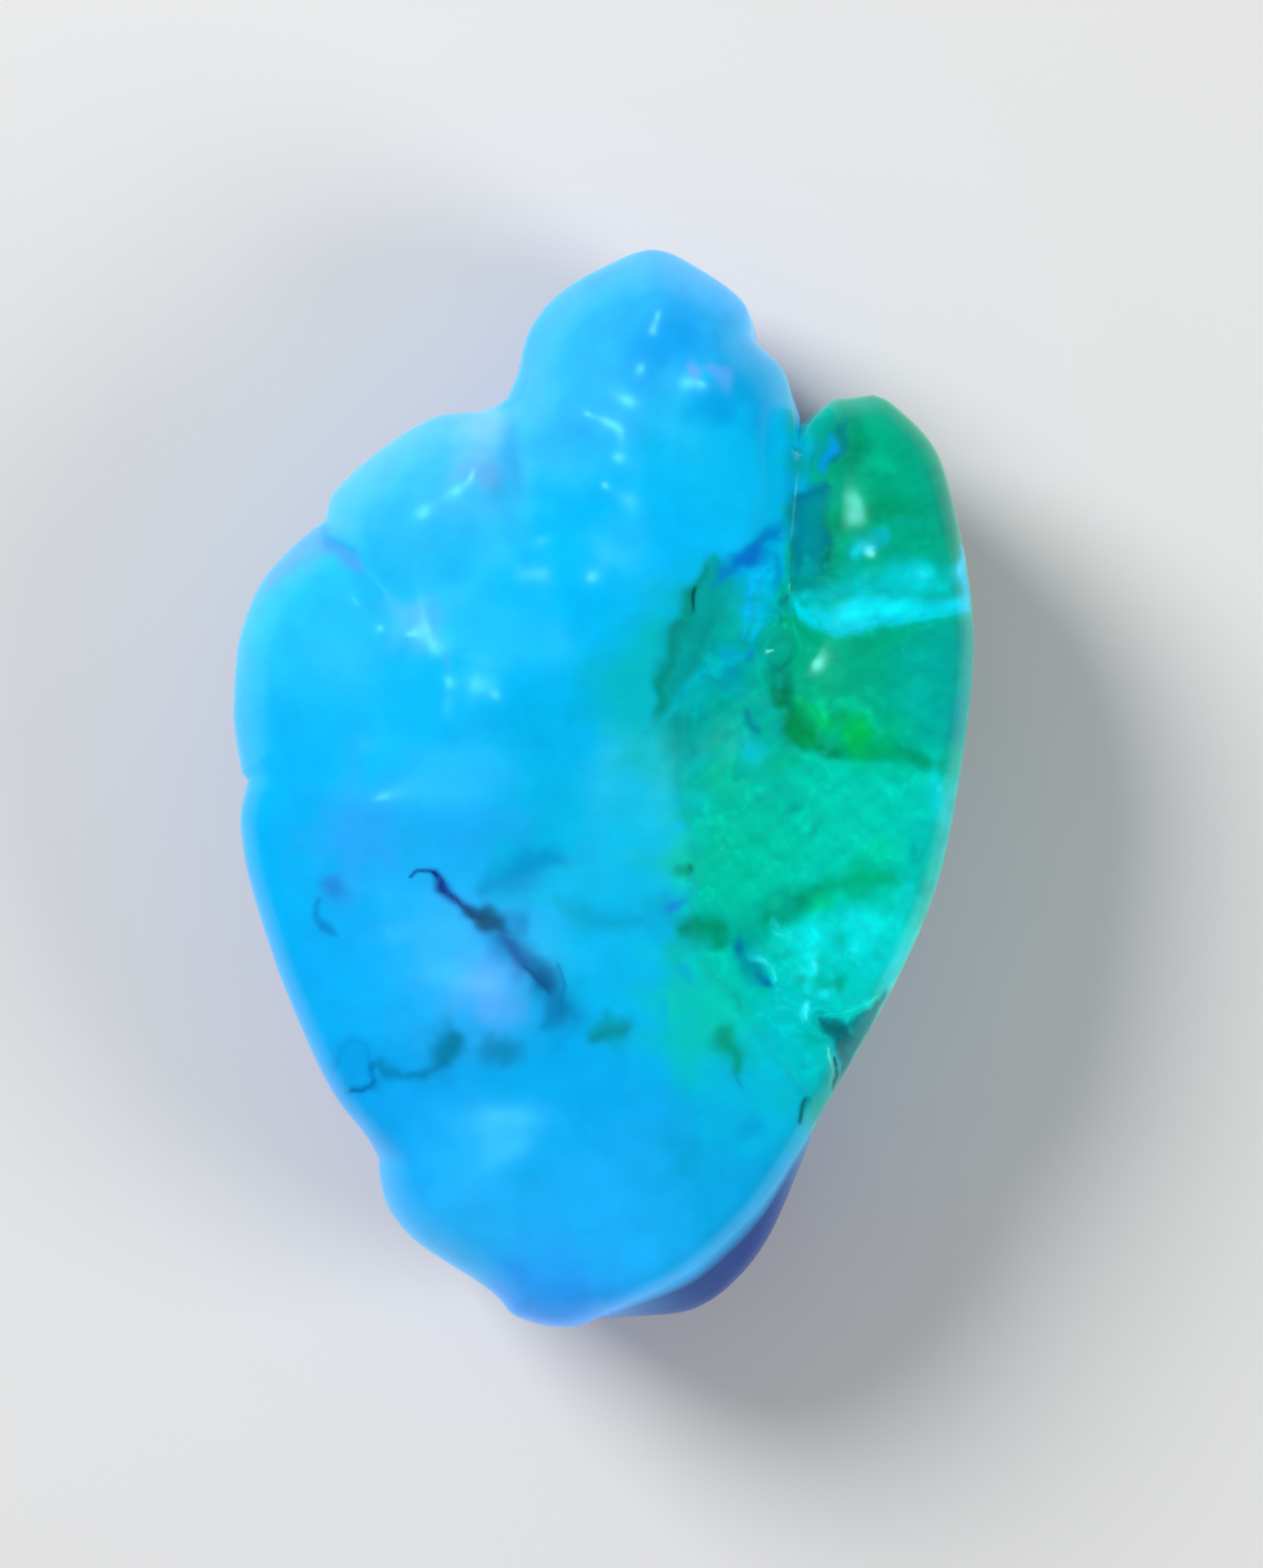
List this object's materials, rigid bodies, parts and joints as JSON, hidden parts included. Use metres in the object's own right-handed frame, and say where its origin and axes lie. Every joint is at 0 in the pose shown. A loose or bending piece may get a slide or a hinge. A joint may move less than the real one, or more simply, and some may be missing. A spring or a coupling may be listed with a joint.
{
  "type": "hyalite opal",
  "caption": "Polished freeform of hyalite opal: milky blue lobes with a clear green side, lying on its flat back.",
  "frame": {"origin": "centre of the flat back that the stone lies on, at Z = 0", "axes": "+Y along the stone to its lobed top, +X to the right of the front, +Z out of the front, up from the surface"},
  "size_m": [0.0288, 0.042, 0.0117],
  "materials": {
    "opal": "polished"
  },
  "bodies": {
    "root": {"hyalite_opal": "opal"}
  },
  "joints": []
}
